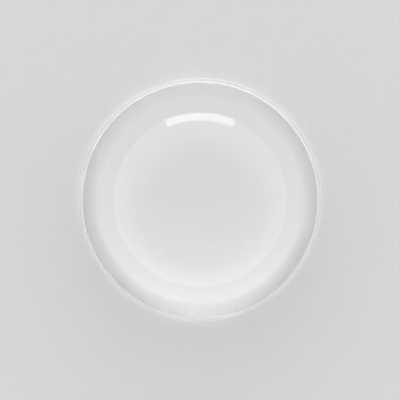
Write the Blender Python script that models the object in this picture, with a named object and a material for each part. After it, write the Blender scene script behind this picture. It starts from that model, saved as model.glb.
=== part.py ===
"""Clear vinyl bumper pad: a self-adhesive dome, 3/8 in (9.5 mm) across.

It is stuck inside a cabinet door or under a drawer front, where its crown takes the blow.
The pad is one moulding, turned about +Z. Its flat adhesive face lies on Z = 0, centred on
the origin, and its crown points up. Lengths are in metres.
"""

import math

import bmesh
import bpy
from mathutils import Vector

# The overall form, from the adhesive face up.
PAD_DIAMETER = 0.0095  # across the adhesive face, 3/8 in
PAD_HEIGHT = 0.0042  # adhesive face to the top of the crown, 0.165 in
WALL_HEIGHT = 0.001  # adhesive face to where the wall would meet the crown
WALL_DRAFT = math.radians(4)  # how far the wall leans in, to leave the mould
SHOULDER_RADIUS = 0.0012  # rounds the wall into the crown

# The lip: what is left of the moulded web where the die cut this pad out of its sheet.
LIP_WIDTH = 0.00018  # how far it stands out from the wall
LIP_THICKNESS = 0.0002
ROOT_RADIUS = 0.0001  # fills the corner between the lip and the wall

# How finely the round stretches are divided.
SEGMENTS_AROUND = 112
ROOT_STEPS = 3
SHOULDER_STEPS = 5
CROWN_STEPS = 21
SEAM_MERGE = 1e-6  # joins the last turned edge to the first

VINYL_COLOUR = (0.91, 0.93, 0.93, 1.0)
VINYL_ROUGHNESS = 0.08
VINYL_TRANSMISSION = 0.95
VINYL_IOR = 1.53  # plasticised PVC
SMOOTH_BELOW = math.radians(35)  # edges sharper than this stay crisp


def clear_scene():
    """Removes whatever the file holds, so that only the pad is left."""
    for found in list(bpy.data.objects):
        bpy.data.objects.remove(found)


def arc(centre, radius, start, end, steps):
    """Points from angle start to angle end round centre, both ends included."""
    points = []
    for step in range(steps + 1):
        angle = start + (end - start) * step / steps
        points.append(centre + radius * Vector((math.cos(angle), math.sin(angle))))
    return points


def angle_of(centre, point):
    """The direction from centre to point, as an angle in the profile's plane."""
    return math.atan2(point.y - centre.y, point.x - centre.x)


def crown_circle(wall_top_radius):
    """Centre and radius of the crown's circle, through the wall's top and the pad's top."""
    rise = PAD_HEIGHT - WALL_HEIGHT
    radius = (wall_top_radius**2 + rise**2) / (2 * rise)
    return Vector((0, PAD_HEIGHT - radius)), radius


def root_arc(wall_foot):
    """The hollow arc that runs from the lip's top face up into the wall."""
    turn = math.pi / 2 - WALL_DRAFT
    reach = ROOT_RADIUS * math.tan(turn / 2)
    centre = wall_foot + Vector((reach, ROOT_RADIUS))
    return arc(centre, ROOT_RADIUS, -math.pi / 2, -math.pi / 2 - turn, ROOT_STEPS)


def shoulder_and_crown(wall_foot, up_the_wall, crown_centre, crown_radius):
    """The arc that rounds the wall over, then the crown up to the axis."""
    into_pad = Vector((-up_the_wall.y, up_the_wall.x))
    # The shoulder's centre lies inside both the wall and the crown by its own radius.
    start = wall_foot + SHOULDER_RADIUS * into_pad - crown_centre
    along = start.dot(up_the_wall)
    reach_squared = along**2 - start.length_squared + (crown_radius - SHOULDER_RADIUS) ** 2
    from_crown_centre = start + (math.sqrt(reach_squared) - along) * up_the_wall
    centre = crown_centre + from_crown_centre
    on_wall = centre - SHOULDER_RADIUS * into_pad
    on_crown = crown_centre + crown_radius * from_crown_centre.normalized()
    shoulder = arc(
        centre,
        SHOULDER_RADIUS,
        angle_of(centre, on_wall),
        angle_of(centre, on_crown),
        SHOULDER_STEPS,
    )
    crown = arc(
        crown_centre,
        crown_radius,
        angle_of(crown_centre, on_crown),
        math.pi / 2,
        CROWN_STEPS,
    )
    return shoulder + crown[1:]


def pad_profile():
    """The pad's half section, as (radius, height) points from the axis at the foot to the axis
    at the top."""
    cut_radius = PAD_DIAMETER / 2
    wall_foot = Vector((cut_radius - LIP_WIDTH, LIP_THICKNESS))
    up_the_wall = Vector((-math.sin(WALL_DRAFT), math.cos(WALL_DRAFT)))
    lean = (WALL_HEIGHT - LIP_THICKNESS) * math.tan(WALL_DRAFT)
    crown_centre, crown_radius = crown_circle(wall_foot.x - lean)

    foot = [Vector((0, 0)), Vector((cut_radius, 0)), Vector((cut_radius, LIP_THICKNESS))]
    root = root_arc(wall_foot)
    upper = shoulder_and_crown(wall_foot, up_the_wall, crown_centre, crown_radius)
    return foot + root + upper


def turned_mesh(name, profile):
    """A closed mesh, made by turning the profile a full circle about +Z."""
    shape = bmesh.new()
    corners = [shape.verts.new((point.x, 0, point.y)) for point in profile]
    edges = [shape.edges.new(pair) for pair in zip(corners, corners[1:])]
    bmesh.ops.spin(
        shape,
        geom=corners + edges,
        cent=(0, 0, 0),
        axis=(0, 0, 1),
        angle=math.tau,
        steps=SEGMENTS_AROUND,
    )
    bmesh.ops.remove_doubles(shape, verts=shape.verts, dist=SEAM_MERGE)
    bmesh.ops.recalc_face_normals(shape, faces=shape.faces)
    mesh = bpy.data.meshes.new(name)
    shape.to_mesh(mesh)
    shape.free()
    mesh.shade_smooth()
    mesh.set_sharp_from_angle(angle=SMOOTH_BELOW)
    return mesh


def clear_vinyl():
    """Soft clear PVC with the gloss of a polished mould."""
    material = bpy.data.materials.new("clear_vinyl")
    material.use_nodes = True
    shader = material.node_tree.nodes["Principled BSDF"]
    shader.inputs["Base Color"].default_value = VINYL_COLOUR
    shader.inputs["Roughness"].default_value = VINYL_ROUGHNESS
    shader.inputs["Metallic"].default_value = 0
    shader.inputs["Transmission Weight"].default_value = VINYL_TRANSMISSION
    shader.inputs["IOR"].default_value = VINYL_IOR
    return material


def bumper_pad():
    """The whole pad: one moulding, so one object."""
    mesh = turned_mesh("bumper_pad", pad_profile())
    mesh.materials.append(clear_vinyl())
    pad = bpy.data.objects.new("bumper_pad", mesh)
    bpy.context.scene.collection.objects.link(pad)
    return pad


clear_scene()
bumper_pad()
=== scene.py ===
"""Clear vinyl bumper pad: how it looks, stuck down flat on a pale board.

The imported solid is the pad's true form. One finely turned mesh stands for it here. It adds
what a moulded and die-cut pad has: slight waves in the crown, a cut edge that wanders a little
and a soft edge round the lip. Lengths are in metres, +Z is up, and the adhesive face is Z = 0.
"""

import math

import bmesh
import bpy
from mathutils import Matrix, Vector, noise


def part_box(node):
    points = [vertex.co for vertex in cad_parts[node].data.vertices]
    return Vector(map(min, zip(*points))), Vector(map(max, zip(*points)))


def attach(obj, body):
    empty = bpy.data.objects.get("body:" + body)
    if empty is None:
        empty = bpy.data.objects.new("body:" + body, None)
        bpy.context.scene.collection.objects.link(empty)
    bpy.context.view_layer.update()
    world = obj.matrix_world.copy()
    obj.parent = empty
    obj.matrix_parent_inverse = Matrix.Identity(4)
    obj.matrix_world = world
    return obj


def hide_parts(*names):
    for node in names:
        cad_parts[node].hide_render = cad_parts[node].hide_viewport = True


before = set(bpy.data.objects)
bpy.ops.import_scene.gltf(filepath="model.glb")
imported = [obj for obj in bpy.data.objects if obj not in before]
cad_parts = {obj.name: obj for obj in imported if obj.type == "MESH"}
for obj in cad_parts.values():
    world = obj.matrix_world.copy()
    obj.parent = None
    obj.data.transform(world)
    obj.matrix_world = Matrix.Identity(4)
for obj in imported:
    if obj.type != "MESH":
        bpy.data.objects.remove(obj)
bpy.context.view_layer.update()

MM = 0.001

# The pad's form: what the solid has, with its overall sizes read from the frame.
PAD_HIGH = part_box("bumper_pad")[1]
CUT_RADIUS = PAD_HIGH[0]
PAD_HEIGHT = PAD_HIGH[2]
WALL_HEIGHT = 1.0 * MM
WALL_DRAFT = math.radians(4)
SHOULDER_RADIUS = 1.2 * MM
LIP_WIDTH = 0.18 * MM
LIP_THICKNESS = 0.2 * MM
ROOT_RADIUS = 0.1 * MM

# What the mesh adds to that form, all of it inwards.
LIP_EDGE_RADIUS = 0.03 * MM  # the cut edge of a soft sheet isn't sharp
CUT_WANDER = 0.02 * MM  # how far the die's cut strays
CUT_WANDERS_AROUND = 5.0  # how quickly that changes round the edge
CROWN_WAVE = 0.0015 * MM  # the moulding's shrinkage, as slow waves in the crown
CROWN_WAVE_LENGTH = 1.6 * MM

# How finely the round stretches are divided.
SEGMENTS_AROUND = 256
EDGE_STEPS = 4
ROOT_STEPS = 6
SHOULDER_STEPS = 14
CROWN_STEPS = 52
SEAM_MERGE = 0.0001 * MM  # joins the last turned edge to the first
SMOOTH_BELOW = math.radians(35)  # edges sharper than this stay crisp

# The pad's three finishes, in the order of its material slots.
MOULDED, CUT, COATED = range(3)
MATT_FOOT = 0.55 * MM  # the wall keeps the mould's matt finish below this
POLISHED_FROM = 1.5 * MM  # and has its full gloss from here up

# A pair of roughnesses is for the clearest vinyl and the cloudiest.
VINYL_IOR = 1.51  # soft, plasticised PVC
VINYL_CLEAR = (0.989, 0.986, 1.0, 1.0)
VINYL_HAZY = (0.966, 0.965, 0.984, 1.0)
MOULDED_TRANSMISSION = 0.94
MOULDED_ROUGHNESS = (0.035, 0.075)
MOULDED_RELIEF = 0.0015 * MM
MATT_ROUGHNESS = 0.30  # what the matt foot adds

CUT_TRANSMISSION = 0.25
CUT_CLEAR = (0.980, 0.979, 0.990, 1.0)
CUT_HAZY = (0.945, 0.945, 0.957, 1.0)
CUT_ROUGHNESS = (0.38, 0.52)
CUT_RELIEF = 0.012 * MM

COAT_TRANSMISSION = 0.9
COAT_IOR = 1.47
COAT_ROUGHNESS = (0.16, 0.30)
COAT_RELIEF = 0.01 * MM

DUST_COLOUR = (0.62, 0.60, 0.57, 1.0)
DUST_ROUGHNESS = 0.3  # what a speck of dust adds
NOISE_MIDDLE = 0.5  # what a noise texture gives on average

# The board.
BOARD_REACH = 3.0
BOARD_LEVEL = 0.02 * MM  # just inside the adhesive, which wets the board and leaves no air
BOARD_COLOUR = (0.842, 0.850, 0.845, 1.0)
BOARD_FLECK = (0.828, 0.836, 0.831, 1.0)
BOARD_IOR = 1.45
BOARD_ROUGHNESS = 0.9
BOARD_RELIEF = 0.01 * MM

# The camera. The lens and the film are in millimetres.
LENS = 300.0
FILM_WIDTH = 36.0
PAD_SHARE_OF_FRAME = 0.62

# The softbox, with its size as half of the angles that it fills, seen from the pad.
SOFTBOX_DISTANCE = 5.0
SOFTBOX_FROM_ZENITH = math.radians(84.5)
SOFTBOX_HALF_WIDTH = math.radians(24)
SOFTBOX_HALF_HEIGHT = math.radians(5)
SOFTBOX_RADIANCE = 3.6

# How bright the surroundings are, by the sine of the height that the light comes from. The
# glow reaches higher beyond the pad's far side than on the viewer's side.
BOARD_LIGHT = 0.8185  # what the board's colour is lit by, so that no line shows where it ends
GLOW_TONE = 1.70
ZENITH_TONE = 0.56
HORIZON_TO = 0.008
GLOW_FROM = 0.025
NEAR_GLOW_TO = 0.10
NEAR_ZENITH_FROM = 0.50
FAR_GLOW_TO = 0.35
FAR_ZENITH_FROM = 0.80

LIGHT_BOUNCES = 40


def arc(centre, radius, start, end, steps):
    """Points from angle start to angle end round centre, both ends included."""
    points = []
    for step in range(steps + 1):
        angle = start + (end - start) * step / steps
        points.append(centre + radius * Vector((math.cos(angle), math.sin(angle))))
    return points


def angle_of(centre, point):
    """The direction from centre to point, as an angle in the profile's plane."""
    return math.atan2(point.y - centre.y, point.x - centre.x)


def lip_edge():
    """The cut edge: straight up from the adhesive face, then rounded over onto the lip."""
    foot = [Vector((0, 0)), Vector((CUT_RADIUS, 0))]
    centre = Vector((CUT_RADIUS - LIP_EDGE_RADIUS, LIP_THICKNESS - LIP_EDGE_RADIUS))
    return foot + arc(centre, LIP_EDGE_RADIUS, 0, math.pi / 2, EDGE_STEPS)


def root_arc(wall_foot):
    """The hollow arc that runs from the lip's top face up into the wall."""
    turn = math.pi / 2 - WALL_DRAFT
    reach = ROOT_RADIUS * math.tan(turn / 2)
    centre = wall_foot + Vector((reach, ROOT_RADIUS))
    return arc(centre, ROOT_RADIUS, -math.pi / 2, -math.pi / 2 - turn, ROOT_STEPS)


def crown_circle(wall_foot):
    """Centre and radius of the crown's circle, through the wall's top and the pad's top."""
    wall_top = wall_foot.x - (WALL_HEIGHT - LIP_THICKNESS) * math.tan(WALL_DRAFT)
    rise = PAD_HEIGHT - WALL_HEIGHT
    radius = (wall_top**2 + rise**2) / (2 * rise)
    return Vector((0, PAD_HEIGHT - radius)), radius


def shoulder_and_crown(wall_foot):
    """The arc that rounds the wall over, then the crown up to the axis."""
    crown_centre, crown_radius = crown_circle(wall_foot)
    up_the_wall = Vector((-math.sin(WALL_DRAFT), math.cos(WALL_DRAFT)))
    into_pad = Vector((-up_the_wall.y, up_the_wall.x))
    # The shoulder's centre lies inside both the wall and the crown by its own radius.
    start = wall_foot + SHOULDER_RADIUS * into_pad - crown_centre
    along = start.dot(up_the_wall)
    reach_squared = along**2 - start.length_squared + (crown_radius - SHOULDER_RADIUS) ** 2
    from_crown_centre = start + (math.sqrt(reach_squared) - along) * up_the_wall
    centre = crown_centre + from_crown_centre
    on_wall = angle_of(centre, centre - into_pad)
    on_crown = angle_of(Vector((0, 0)), from_crown_centre)
    shoulder = arc(centre, SHOULDER_RADIUS, on_wall, on_crown, SHOULDER_STEPS)
    crown = arc(crown_centre, crown_radius, on_crown, math.pi / 2, CROWN_STEPS)
    return shoulder + crown[1:]


def pad_profile():
    """The pad's half section, from the axis at the foot to the axis at the top."""
    wall_foot = Vector((CUT_RADIUS - LIP_WIDTH, LIP_THICKNESS))
    return lip_edge() + root_arc(wall_foot) + shoulder_and_crown(wall_foot)


def turned(profile):
    """A closed shape, made by turning the profile a full circle about +Z."""
    shape = bmesh.new()
    corners = [shape.verts.new((point.x, 0, point.y)) for point in profile]
    edges = [shape.edges.new(pair) for pair in zip(corners, corners[1:])]
    bmesh.ops.spin(
        shape,
        geom=corners + edges,
        cent=(0, 0, 0),
        axis=(0, 0, 1),
        angle=math.tau,
        steps=SEGMENTS_AROUND,
    )
    bmesh.ops.remove_doubles(shape, verts=shape.verts, dist=SEAM_MERGE)
    bmesh.ops.recalc_face_normals(shape, faces=shape.faces)
    shape.normal_update()
    return shape


def clamped(value):
    """The value, kept from 0 to 1."""
    return min(1, max(0, value))


def drift_at(place):
    """Slow noise at a place, from 0 to 1."""
    return 0.5 + 0.5 * noise.noise(place)


def wander_of_the_cut(corner):
    """Draws the lip's outer corners in a little, by an amount that drifts round the edge."""
    round_the_edge = corner.co.xy.normalized()
    drift = drift_at(Vector((*round_the_edge, 0)) * CUT_WANDERS_AROUND)
    share = clamped((corner.co.xy.length - CUT_RADIUS + LIP_WIDTH) / LIP_WIDTH)
    corner.co.xy -= round_the_edge * CUT_WANDER * share * drift


def wave_of_the_crown(corner):
    """Sinks the moulded surface in slow waves, in full from twice the wall's height up."""
    wave = drift_at(corner.co / CROWN_WAVE_LENGTH)
    share = clamped(corner.co.z / WALL_HEIGHT - 1)
    corner.co -= corner.normal * CROWN_WAVE * share * wave


def finish_of(face):
    """Which of the three finishes a face has, by how high it lies."""
    height = face.calc_center_median().z
    if height < BOARD_LEVEL / 2:
        return COATED
    if height < MATT_FOOT:
        return CUT
    return MOULDED


def pad_mesh():
    """The pad's closed mesh, with its waves, its wandering cut and its faces' finishes."""
    shape = turned(pad_profile())
    for corner in shape.verts:
        if corner.co.z > WALL_HEIGHT:
            wave_of_the_crown(corner)
        elif corner.co.xy.length > CUT_RADIUS - LIP_WIDTH:
            wander_of_the_cut(corner)
    for face in shape.faces:
        face.material_index = finish_of(face)
    mesh = bpy.data.meshes.new("vinyl_pad")
    shape.to_mesh(mesh)
    shape.free()
    mesh.shade_smooth()
    mesh.set_sharp_from_angle(angle=SMOOTH_BELOW)
    return mesh


def new_group(name, inputs, outputs):
    """An empty shader node group with the given float inputs and their values, and outputs."""
    group = bpy.data.node_groups.new(name, "ShaderNodeTree")
    for socket, value in inputs.items():
        made = group.interface.new_socket(socket, in_out="INPUT", socket_type="NodeSocketFloat")
        made.default_value = value
    for socket in outputs:
        group.interface.new_socket(socket, in_out="OUTPUT", socket_type="NodeSocketFloat")
    return group, group.nodes.new("NodeGroupInput"), group.nodes.new("NodeGroupOutput")


def place_in_mm(tree):
    """The place on the piece, counted in millimetres, so that scales read as copies a mm."""
    place = tree.nodes.new("ShaderNodeTexCoord")
    in_mm = tree.nodes.new("ShaderNodeVectorMath")
    in_mm.operation = "SCALE"
    in_mm.inputs["Scale"].default_value = 1 / MM
    tree.links.new(place.outputs["Object"], in_mm.inputs[0])
    return in_mm.outputs["Vector"]


def noise_field(tree, place, scale, detail):
    """A noise texture over the given place. scale is a number or a socket."""
    field = tree.nodes.new("ShaderNodeTexNoise")
    field.inputs["Detail"].default_value = detail
    tree.links.new(place, field.inputs["Vector"])
    if isinstance(scale, float):
        field.inputs["Scale"].default_value = scale
    else:
        tree.links.new(scale, field.inputs["Scale"])
    return field.outputs["Fac"]


def number(tree, operation, first, second):
    """A Math node on two inputs, each a number or a socket."""
    node = tree.nodes.new("ShaderNodeMath")
    node.operation = operation
    for slot, value in enumerate((first, second)):
        if isinstance(value, bpy.types.NodeSocket):
            tree.links.new(value, node.inputs[slot])
        else:
            node.inputs[slot].default_value = value
    return node.outputs["Value"]


def relief_group():
    """Fine relief, as a mould, a coating roll or a press leaves it: waves with a grain on them."""
    sizes = {"Wave Scale": 2.0, "Grain Scale": 12.0, "Grain Share": 0.2}
    group, given, result = new_group("surface_relief", sizes, ("Height",))
    place = place_in_mm(group)
    wave = noise_field(group, place, given.outputs["Wave Scale"], detail=1.0)
    grain = noise_field(group, place, given.outputs["Grain Scale"], detail=3.0)
    grain = number(group, "MULTIPLY", grain, given.outputs["Grain Share"])
    group.links.new(number(group, "ADD", wave, grain), result.inputs["Height"])
    return group


def speck_group():
    """Dust and lint caught on tacky vinyl: a few small dots, each in a cell of its own."""
    sizes = {"Scale": 2.2, "Amount": 0.08, "Dot Size": 0.05}
    group, given, result = new_group("dust_specks", sizes, ("Mask",))
    cells = group.nodes.new("ShaderNodeTexVoronoi")
    group.links.new(place_in_mm(group), cells.inputs["Vector"])
    group.links.new(given.outputs["Scale"], cells.inputs["Scale"])
    cell = group.nodes.new("ShaderNodeSeparateColor")
    group.links.new(cells.outputs["Color"], cell.inputs["Color"])
    chosen = number(group, "LESS_THAN", cell.outputs["Red"], given.outputs["Amount"])
    size = number(group, "MULTIPLY", cell.outputs["Green"], given.outputs["Dot Size"])
    inside = number(group, "LESS_THAN", cells.outputs["Distance"], size)
    group.links.new(number(group, "MULTIPLY", chosen, inside), result.inputs["Mask"])
    return group


def haze_group():
    """How cloudy the vinyl is, from 0 clear to 1 cloudy, in soft patches."""
    group, given, result = new_group("vinyl_haze", {"Scale": 0.5, "Contrast": 1.5}, ("Mask",))
    patches = noise_field(group, place_in_mm(group), given.outputs["Scale"], detail=3.0)
    level = number(group, "SUBTRACT", patches, NOISE_MIDDLE)
    level = number(group, "MULTIPLY", level, given.outputs["Contrast"])
    level = number(group, "ADD", level, NOISE_MIDDLE)
    clamp = group.nodes.new("ShaderNodeClamp")
    group.links.new(level, clamp.inputs["Value"])
    group.links.new(clamp.outputs["Result"], result.inputs["Mask"])
    return group


def use_group(tree, group, output, **values):
    """Places a group in a material, with its own values, and returns one of its outputs.
    Underscores in a value's name stand for spaces."""
    node = tree.nodes.new("ShaderNodeGroup")
    node.node_tree = group
    for socket, value in values.items():
        node.inputs[socket.replace("_", " ")].default_value = value
    return node.outputs[output]


def blend_of(tree, share, first, second):
    """A colour between two, each a colour or a socket. share is a socket, 0 for the first."""
    mix = tree.nodes.new("ShaderNodeMix")
    mix.data_type = "RGBA"
    tree.links.new(share, mix.inputs["Factor"])
    for socket, colour in (("A", first), ("B", second)):
        target = next(one for one in mix.inputs if one.name == socket and one.type == "RGBA")
        if isinstance(colour, bpy.types.NodeSocket):
            tree.links.new(colour, target)
        else:
            target.default_value = colour
    return next(one for one in mix.outputs if one.type == "RGBA")


def between(tree, share, low, high):
    """A number from low to high as share goes from 0 to 1."""
    return number(tree, "ADD", number(tree, "MULTIPLY", share, high - low), low)


def bump_of(tree, height, depth):
    """A normal bumped by a height, where a height of 1 is depth metres deep."""
    bump = tree.nodes.new("ShaderNodeBump")
    bump.inputs["Distance"].default_value = depth
    tree.links.new(height, bump.inputs["Height"])
    return bump.outputs["Normal"]


def new_material(name, transmission, ior):
    """A material with its shader, ready for the nodes that vary over the surface."""
    material = bpy.data.materials.new(name)
    material.use_nodes = True
    shader = material.node_tree.nodes["Principled BSDF"]
    shader.inputs["Metallic"].default_value = 0
    shader.inputs["Transmission Weight"].default_value = transmission
    shader.inputs["IOR"].default_value = ior
    return material, material.node_tree, shader


def height_share(tree, low, high):
    """0 at height low and below, 1 at height high and above."""
    place = tree.nodes.new("ShaderNodeTexCoord")
    parts = tree.nodes.new("ShaderNodeSeparateXYZ")
    tree.links.new(place.outputs["Object"], parts.inputs["Vector"])
    rise = tree.nodes.new("ShaderNodeMapRange")
    rise.interpolation_type = "SMOOTHSTEP"
    rise.inputs["From Min"].default_value = low
    rise.inputs["From Max"].default_value = high
    tree.links.new(parts.outputs["Z"], rise.inputs["Value"])
    return rise.outputs["Result"]


def moulded_vinyl(relief, specks, haze):
    """The crown and wall: clear and glossy, with the polish fading into the matt foot."""
    material, tree, shader = new_material("moulded_vinyl", MOULDED_TRANSMISSION, VINYL_IOR)
    cloud = use_group(tree, haze, "Mask", Scale=0.45, Contrast=1.8)
    dots = use_group(tree, specks, "Mask", Scale=2.2, Amount=0.08, Dot_Size=0.07)
    colour = blend_of(tree, cloud, VINYL_CLEAR, VINYL_HAZY)
    colour = blend_of(tree, dots, colour, DUST_COLOUR)
    tree.links.new(colour, shader.inputs["Base Color"])

    polished = between(tree, cloud, *MOULDED_ROUGHNESS)
    matt = number(tree, "SUBTRACT", 1.0, height_share(tree, MATT_FOOT, POLISHED_FROM))
    rough = number(tree, "ADD", polished, number(tree, "MULTIPLY", matt, MATT_ROUGHNESS))
    rough = number(tree, "ADD", rough, number(tree, "MULTIPLY", dots, DUST_ROUGHNESS))
    tree.links.new(rough, shader.inputs["Roughness"])

    height = use_group(tree, relief, "Height", Wave_Scale=1.8, Grain_Scale=14.0, Grain_Share=0.12)
    tree.links.new(bump_of(tree, height, MOULDED_RELIEF), shader.inputs["Normal"])
    return material


def cut_vinyl(relief, specks, haze):
    """The lip and the foot of the wall: matt from the mould, frosted where the die cut."""
    material, tree, shader = new_material("cut_vinyl", CUT_TRANSMISSION, VINYL_IOR)
    cloud = use_group(tree, haze, "Mask", Scale=2.5, Contrast=2.2)
    dots = use_group(tree, specks, "Mask", Scale=4.0, Amount=0.10, Dot_Size=0.12)
    colour = blend_of(tree, cloud, CUT_CLEAR, CUT_HAZY)
    colour = blend_of(tree, dots, colour, DUST_COLOUR)
    tree.links.new(colour, shader.inputs["Base Color"])
    tree.links.new(between(tree, cloud, *CUT_ROUGHNESS), shader.inputs["Roughness"])

    height = use_group(tree, relief, "Height", Wave_Scale=9.0, Grain_Scale=40.0, Grain_Share=0.5)
    tree.links.new(bump_of(tree, height, CUT_RELIEF), shader.inputs["Normal"])
    return material


def adhesive_coat(relief, haze):
    """The flat face: a clear sticky coat with the faint ripple of its coating roll."""
    material, tree, shader = new_material("adhesive_coat", COAT_TRANSMISSION, COAT_IOR)
    cloud = use_group(tree, haze, "Mask", Scale=0.8, Contrast=2.0)
    tree.links.new(blend_of(tree, cloud, VINYL_CLEAR, VINYL_HAZY), shader.inputs["Base Color"])
    tree.links.new(between(tree, cloud, *COAT_ROUGHNESS), shader.inputs["Roughness"])

    height = use_group(tree, relief, "Height", Wave_Scale=1.2, Grain_Scale=6.0, Grain_Share=0.4)
    tree.links.new(bump_of(tree, height, COAT_RELIEF), shader.inputs["Normal"])
    return material


def pale_board(relief):
    """The floor: a plain pale board with a dull, barely mottled face."""
    material, tree, shader = new_material("pale_board", 0, BOARD_IOR)
    mottle = noise_field(tree, place_in_mm(tree), scale=1.1, detail=5.0)
    tree.links.new(blend_of(tree, mottle, BOARD_COLOUR, BOARD_FLECK), shader.inputs["Base Color"])
    shader.inputs["Roughness"].default_value = BOARD_ROUGHNESS
    shader.inputs["Specular IOR Level"].default_value = 0

    height = use_group(tree, relief, "Height", Wave_Scale=3.0, Grain_Scale=16.0, Grain_Share=0.6)
    tree.links.new(bump_of(tree, height, BOARD_RELIEF), shader.inputs["Normal"])
    return material


def add_to_scene(name, data):
    """An object made of data, in the scene."""
    made = bpy.data.objects.new(name, data)
    bpy.context.scene.collection.objects.link(made)
    return made


def vinyl_pad(relief, specks, haze):
    """The pad itself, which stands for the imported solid."""
    mesh = pad_mesh()
    # The slots are in the order of MOULDED, CUT and COATED.
    mesh.materials.append(moulded_vinyl(relief, specks, haze))
    mesh.materials.append(cut_vinyl(relief, specks, haze))
    mesh.materials.append(adhesive_coat(relief, haze))
    pad = add_to_scene("vinyl_pad", mesh)
    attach(pad, "root")
    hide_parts("bumper_pad")


def board(relief):
    """The floor that the pad is stuck to."""
    corners = []
    for x, y in ((-1, -1), (1, -1), (1, 1), (-1, 1)):
        corners.append((x * BOARD_REACH, y * BOARD_REACH, BOARD_LEVEL))
    mesh = bpy.data.meshes.new("board")
    mesh.from_pydata(corners, [], [(0, 1, 2, 3)])
    mesh.materials.append(pale_board(relief))
    add_to_scene("board", mesh)


def light_by_height(tree, height, glow_to, zenith_from):
    """The surroundings' colour from the horizon to the zenith, as a share of GLOW_TONE."""
    ramp = tree.nodes.new("ShaderNodeValToRGB")
    ramp.color_ramp.interpolation = "EASE"
    tree.links.new(height, ramp.inputs["Fac"])
    board_tone = [BOARD_LIGHT * part for part in BOARD_COLOUR[:3]]
    tones = (
        (HORIZON_TO, board_tone),
        (GLOW_FROM, [GLOW_TONE] * 3),
        (glow_to, [GLOW_TONE] * 3),
        (zenith_from, [ZENITH_TONE] * 3),
    )
    stops = ramp.color_ramp.elements
    while len(stops) < len(tones):
        stops.new(1)
    for stop, (position, tone) in zip(stops, tones):
        stop.position = position
        stop.color = (*[part / GLOW_TONE for part in tone], 1)
    return ramp.outputs["Color"]


def surroundings():
    """Soft light from all round: the board's tone at the horizon, brightest just above it."""
    world = bpy.data.worlds.new("surroundings")
    bpy.context.scene.world = world
    world.use_nodes = True
    tree = world.node_tree
    direction = tree.nodes.new("ShaderNodeTexCoord")
    parts = tree.nodes.new("ShaderNodeSeparateXYZ")
    tree.links.new(direction.outputs["Generated"], parts.inputs["Vector"])
    near = light_by_height(tree, parts.outputs["Z"], NEAR_GLOW_TO, NEAR_ZENITH_FROM)
    far = light_by_height(tree, parts.outputs["Z"], FAR_GLOW_TO, FAR_ZENITH_FROM)
    # Y runs from -1 on the viewer's side to 1 on the far side, so the share runs from 0 to 1.
    far_share = between(tree, parts.outputs["Y"], 0.5, 1)
    background = tree.nodes["Background"]
    tree.links.new(blend_of(tree, far_share, near, far), background.inputs["Color"])
    background.inputs["Strength"].default_value = GLOW_TONE


def softbox():
    """A long, low softbox beyond the pad's far side, whose stripe shows on the crown."""
    light = bpy.data.lights.new("softbox", "AREA")
    light.shape = "RECTANGLE"
    light.size = 2 * SOFTBOX_DISTANCE * math.tan(SOFTBOX_HALF_WIDTH)
    light.size_y = 2 * SOFTBOX_DISTANCE * math.tan(SOFTBOX_HALF_HEIGHT)
    light.energy = SOFTBOX_RADIANCE * math.pi * light.size * light.size_y
    lamp = add_to_scene("softbox", light)
    out = math.sin(SOFTBOX_FROM_ZENITH)
    up = math.cos(SOFTBOX_FROM_ZENITH)
    lamp.location = (0, SOFTBOX_DISTANCE * out, SOFTBOX_DISTANCE * up)
    lamp.rotation_euler = (-SOFTBOX_FROM_ZENITH, 0, 0)
    lamp.visible_camera = False


def camera():
    """Straight above the pad, as the photograph looks at it."""
    lens = bpy.data.cameras.new("camera")
    lens.lens = LENS
    lens.sensor_width = FILM_WIDTH
    lens.clip_start = MM
    view = add_to_scene("camera", lens)
    width_seen = 2 * CUT_RADIUS / PAD_SHARE_OF_FRAME
    view.location = (0, 0, width_seen * LENS / FILM_WIDTH + PAD_HEIGHT / 2)
    bpy.context.scene.camera = view


def light_paths():
    """Lets light pass about in the clear dome until it comes out, with none of it cut off."""
    cycles = bpy.context.scene.cycles
    cycles.blur_glossy = 0
    cycles.max_bounces = LIGHT_BOUNCES
    cycles.diffuse_bounces = LIGHT_BOUNCES
    cycles.glossy_bounces = LIGHT_BOUNCES
    cycles.transmission_bounces = LIGHT_BOUNCES


relief = relief_group()
specks = speck_group()
haze = haze_group()
vinyl_pad(relief, specks, haze)
board(relief)
surroundings()
softbox()
camera()
bpy.context.scene.view_settings.view_transform = "Standard"
light_paths()
